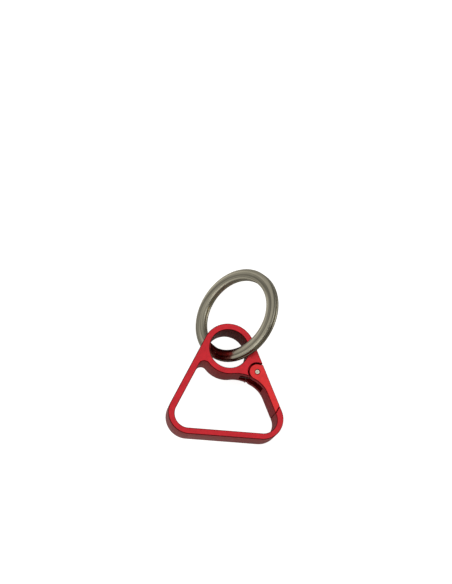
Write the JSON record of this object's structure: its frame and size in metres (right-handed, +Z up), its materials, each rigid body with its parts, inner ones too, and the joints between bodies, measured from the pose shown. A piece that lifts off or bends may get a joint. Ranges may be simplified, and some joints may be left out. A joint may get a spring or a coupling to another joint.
{
  "type": "carabiner keyring",
  "caption": "Flat triangular aluminium carabiner with a sprung gate on one side and a steel split ring hanging in its eye.",
  "frame": {"origin": "the middle of the keyring's footprint on the surface it lies on, under its bounding box", "axes": "+Z up from the surface, +Y along the carabiner from its base bar to the eye and the ring, +X towards the gate side"},
  "size_m": [0.0376, 0.0578, 0.0194],
  "materials": {
    "red_anodised_frame": "satin red anodised, with brighter worn edges",
    "red_anodised_gate": "satin red anodised, a lighter batch than the frame",
    "pin_steel": "bright turned steel, staked ends",
    "spring_steel": "drawn spring wire",
    "ring_nickel": "nickel-plated steel with fine wear"
  },
  "bodies": {
    "frame": {"frame": "red_anodised_frame", "gate_spring": "spring_steel"},
    "gate": {"gate": "red_anodised_gate", "hinge_pin": "pin_steel"},
    "ring": {"split_ring": "ring_nickel"}
  },
  "joints": [
    {"name": "gate_hinge", "type": "hinge", "parent": "frame", "child": "gate", "pos_m": [0.00883, -0.0069, 0.00603], "axis": [-0.3203, -0.0419, -0.9464], "range_deg": [0, 48], "stiffness_Nm_per_rad": 0.004, "springref_deg": -34.38, "deforming": ["gate_spring"]},
    {"name": "ring_swing", "type": "hinge", "parent": "frame", "child": "ring", "pos_m": [-0.00009, 0.00009, 0.00874], "axis": [-0.0791, -0.9944, 0.0708], "range_deg": [0, 86]}
  ]
}
